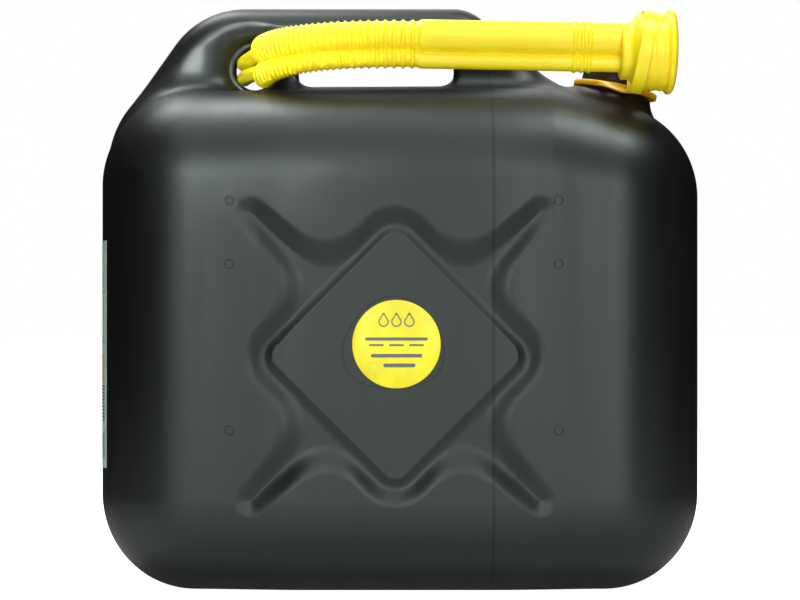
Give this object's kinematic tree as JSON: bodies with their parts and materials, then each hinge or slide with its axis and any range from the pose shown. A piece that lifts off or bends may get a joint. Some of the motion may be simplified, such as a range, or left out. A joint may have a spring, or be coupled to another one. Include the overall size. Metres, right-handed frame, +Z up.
{
  "type": "fuel can",
  "caption": "Blow-moulded fuel can with a handle over its shoulder, a child-resistant screw cap and a flexible twin-channel spout stowed across the handle.",
  "frame": {"origin": "middle of the base, on the surface that the can stands on", "axes": "+X from the handle's stow hole towards the cap, -Y towards the spout and the front panel, +Z up"},
  "size_m": [0.3882, 0.188, 0.3805],
  "materials": {
    "tank": "black blow-moulded polyethylene with a fine matte texture",
    "sticker": "bright yellow printed vinyl",
    "label": "pale green printed film",
    "cap": "black moulded plastic",
    "seal": "dark grey soft rubber",
    "strap": "soft yellow plastic",
    "spout": "lemon yellow soft polyethylene"
  },
  "bodies": {
    "tank": {"tank_body": "tank", "front_sticker": "sticker", "end_label": "label"},
    "cap_liner": {"cap_seal": "seal"},
    "cap_core": {"cap_inner": "cap"},
    "cap_shell": {"cap_outer": "cap"},
    "spout": {"tether": "strap", "spout_collar": "spout", "spout_seal": "seal", "spout_tube": "spout", "spout_bellows": "spout"},
    "spout_end": {"spout_tip": "spout"}
  },
  "joints": [
    {"name": "cap_rise", "type": "slide", "parent": "tank", "child": "cap_liner", "axis": [0.1994, 0, 0.9799], "range_m": [0, 0.00675]},
    {"name": "cap_turn", "type": "hinge", "parent": "cap_liner", "child": "cap_core", "pos_m": [0.143, 0, 0.3247], "axis": [0.1994, 0, 0.9799], "range_deg": [0, 540]},
    {"name": "cap_press", "type": "slide", "parent": "cap_core", "child": "cap_shell", "axis": [-0.1994, 0, -0.9799], "range_m": [0, 0.0012], "stiffness_N_per_m": 400},
    {"name": "spout_swing", "type": "hinge", "parent": "tank", "child": "spout", "pos_m": [0.143, 0, 0.3247], "axis": [0.1994, 0, 0.9799], "range_deg": [0, 120]},
    {"name": "spout_bend", "type": "hinge", "parent": "spout", "child": "spout_end", "pos_m": [-0.01, -0.03, 0.348], "axis": [0, 0, 1], "range_deg": [0, 60], "deforming": ["spout_bellows"]}
  ],
  "couplings": [
    {"joint": "cap_rise", "follows": "cap_turn", "m_per_rad": 0.0007162}
  ]
}
